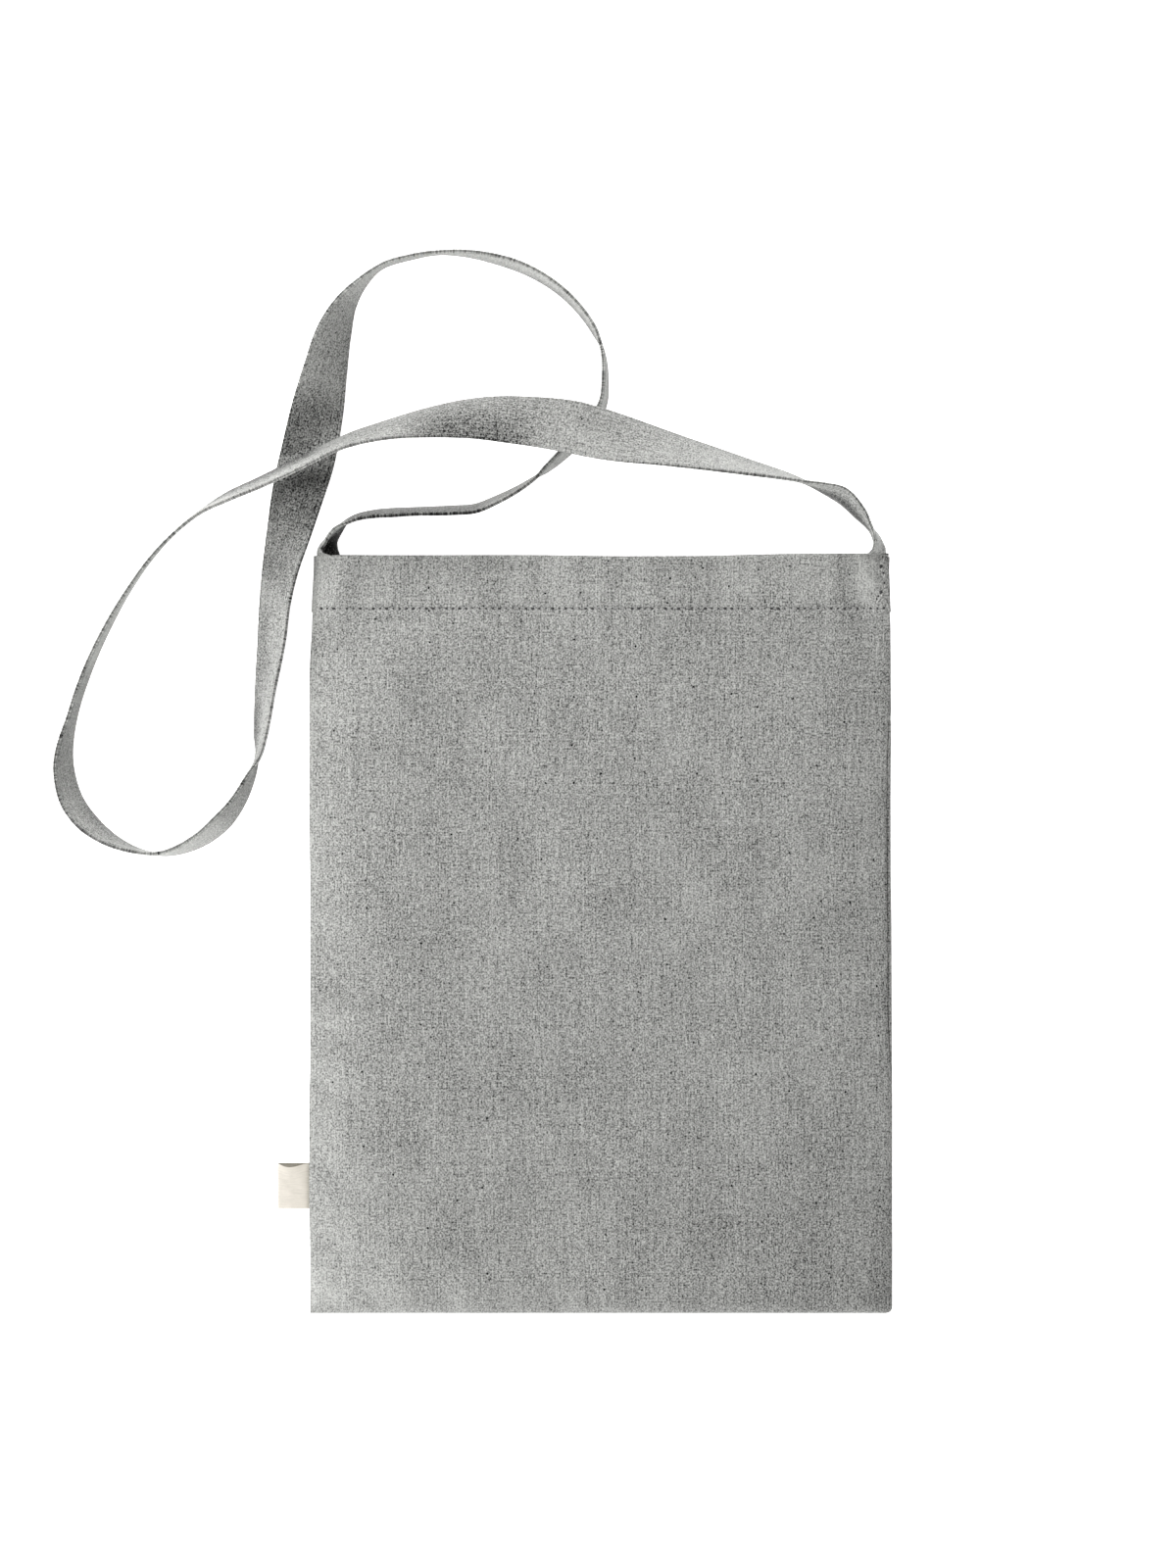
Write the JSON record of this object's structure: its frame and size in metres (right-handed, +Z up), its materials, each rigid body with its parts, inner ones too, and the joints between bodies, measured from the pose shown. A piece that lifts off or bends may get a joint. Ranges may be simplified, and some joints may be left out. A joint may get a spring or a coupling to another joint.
{
  "type": "tote bag",
  "caption": "Flat woven cotton tote bag with a hemmed open mouth, a long shoulder strap laid in loops and a small folded label in the side seam, lying on its back panel.",
  "frame": {"origin": "middle of the back panel's underside, the flat face that the bag lies on", "axes": "+X to the right across the panels, +Y from the bottom seam towards the mouth, +Z up from the surface that the bag lies on"},
  "size_m": [0.4599, 0.5851, 0.0455],
  "materials": {
    "cloth": "matte plain weave of mixed grey yarn with light and dark flecks",
    "tape": "matte cream woven tape"
  },
  "bodies": {
    "root": {"front_panel": "cloth", "back_panel": "cloth", "strap": "cloth", "side_label": "tape"}
  },
  "joints": []
}
